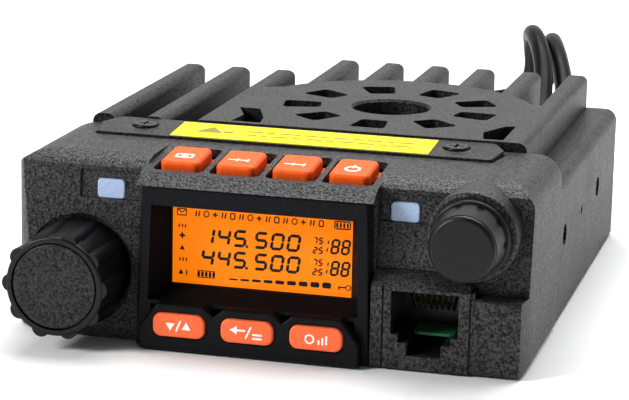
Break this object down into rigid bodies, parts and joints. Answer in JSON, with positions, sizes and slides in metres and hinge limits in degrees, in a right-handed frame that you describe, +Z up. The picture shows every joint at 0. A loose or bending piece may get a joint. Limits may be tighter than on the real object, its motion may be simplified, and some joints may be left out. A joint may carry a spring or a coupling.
{
  "type": "mobile transceiver",
  "caption": "Compact mobile amateur radio transceiver with finned die-cast body, backlit display, orange keys, tuning and volume knobs, fan grille and supply lead.",
  "frame": {"origin": "centre of the bounding box at the height of the feet, measured without the supply lead", "axes": "-Y out of the front panel, +X to the right as seen from the front, +Z up"},
  "size_m": [0.1207, 0.2451, 0.0351],
  "materials": {
    "cast_black": "powder coated die casting, fine texture",
    "cover_black": "textured black paint",
    "panel_black": "fine spark-eroded grain",
    "bezel_black": "satin",
    "knob_rubber": "matte",
    "cap_black": "satin",
    "key_orange": "satin silicone",
    "window_clear": "clear",
    "lcd": "backlit display",
    "diffuser_white": "white diffuser",
    "lamp_pale": "frosted",
    "label_yellow": "printed film",
    "screw_black": "blackened",
    "screw_steel": "zinc plated",
    "shaft_steel": "turned",
    "board_green": "solder mask",
    "component_black": "moulded",
    "can_tin": "tinned",
    "gold": "gold plated",
    "nickel": "nickel plated",
    "insulator_white": "fluoropolymer",
    "thermal_grey": "soft pad",
    "fan_black": "satin",
    "paper_dark": "pressed paper",
    "magnet_dark": "ferrite",
    "cable_grey": "flat cable",
    "lead_black": "satin sheath",
    "plug_white": "nylon"
  },
  "bodies": {
    "radio": {"antenna_contact": "gold", "antenna_insulator": "insulator_white", "antenna_screws": "nickel", "antenna_socket": "nickel", "backlight": "diffuser_white", "board_screws": "screw_steel", "bottom_cover": "cover_black", "capacitors": "component_black", "chassis": "cast_black", "control_board": "board_green", "cover_screws": "screw_black", "display_frame": "bezel_black", "display_window": "window_clear", "fan_frame": "fan_black", "fan_plate": "cover_black", "fan_screws": "screw_steel", "front_panel": "panel_black", "jack_nut": "nickel", "key_board": "board_green", "label": "label_yellow", "label_strip": "cap_black", "lamp_window_left": "lamp_pale", "lamp_window_right": "lamp_pale", "lcd_glass": "lcd", "lead_grommet": "lead_black", "led_chips": "diffuser_white", "lower_switches": "component_black", "main_board": "board_green", "mic_contacts": "gold", "mic_jack": "component_black", "plug_contacts": "gold", "plug_housing": "plug_white", "power_lead_negative": "lead_black", "power_lead_positive": "lead_black", "power_module": "component_black", "ribbon_cable": "cable_grey", "rotary_encoder": "can_tin", "shield_cans": "can_tin", "speaker_basket": "screw_steel", "speaker_cone": "paper_dark", "speaker_jack": "component_black", "speaker_magnet": "magnet_dark", "strip_screws": "screw_black", "thermal_pad": "thermal_grey", "upper_switches": "component_black", "volume_control": "can_tin"},
    "channel_knob": {"channel_knob": "knob_rubber", "channel_knob_cap": "cap_black", "channel_shaft": "shaft_steel"},
    "volume_knob": {"volume_knob": "knob_rubber", "volume_shaft": "shaft_steel"},
    "fan_rotor": {"fan_rotor": "fan_black"},
    "upper_button_1": {"upper_button_1": "key_orange"},
    "upper_button_2": {"upper_button_2": "key_orange"},
    "upper_button_3": {"upper_button_3": "key_orange"},
    "upper_button_4": {"upper_button_4": "key_orange"},
    "lower_key_1": {"lower_key_1": "key_orange"},
    "lower_key_2": {"lower_key_2": "key_orange"},
    "lower_key_3": {"lower_key_3": "key_orange"}
  },
  "joints": [
    {"name": "channel_turn", "type": "hinge", "parent": "radio", "child": "channel_knob", "pos_m": [-0.0342, -0.05055, 0.0123], "axis": [0, -1, 0], "continuous": true},
    {"name": "volume_turn", "type": "hinge", "parent": "radio", "child": "volume_knob", "pos_m": [0.0396, -0.05055, 0.0253], "axis": [0, -1, 0], "range_deg": [-150, 150]},
    {"name": "fan_spin", "type": "hinge", "parent": "radio", "child": "fan_rotor", "pos_m": [0.01082, 0.00825, 0.0322], "axis": [0, 0, 1], "continuous": true},
    {"name": "upper_button_1_press", "type": "slide", "parent": "radio", "child": "upper_button_1", "axis": [0, 0.0977, -0.9952], "range_m": [0, 0.0005], "stiffness_N_per_m": 600, "springref_m": -0.0004},
    {"name": "upper_button_2_press", "type": "slide", "parent": "radio", "child": "upper_button_2", "axis": [0, 0.0977, -0.9952], "range_m": [0, 0.0005], "stiffness_N_per_m": 600, "springref_m": -0.0004},
    {"name": "upper_button_3_press", "type": "slide", "parent": "radio", "child": "upper_button_3", "axis": [0, 0.0977, -0.9952], "range_m": [0, 0.0005], "stiffness_N_per_m": 600, "springref_m": -0.0004},
    {"name": "upper_button_4_press", "type": "slide", "parent": "radio", "child": "upper_button_4", "axis": [0, 0.0977, -0.9952], "range_m": [0, 0.0005], "stiffness_N_per_m": 600, "springref_m": -0.0004},
    {"name": "lower_key_1_press", "type": "slide", "parent": "radio", "child": "lower_key_1", "axis": [0, 1, 0], "range_m": [0, 0.0005], "stiffness_N_per_m": 600, "springref_m": -0.0004},
    {"name": "lower_key_2_press", "type": "slide", "parent": "radio", "child": "lower_key_2", "axis": [0, 1, 0], "range_m": [0, 0.0005], "stiffness_N_per_m": 600, "springref_m": -0.0004},
    {"name": "lower_key_3_press", "type": "slide", "parent": "radio", "child": "lower_key_3", "axis": [0, 1, 0], "range_m": [0, 0.0005], "stiffness_N_per_m": 600, "springref_m": -0.0004}
  ]
}
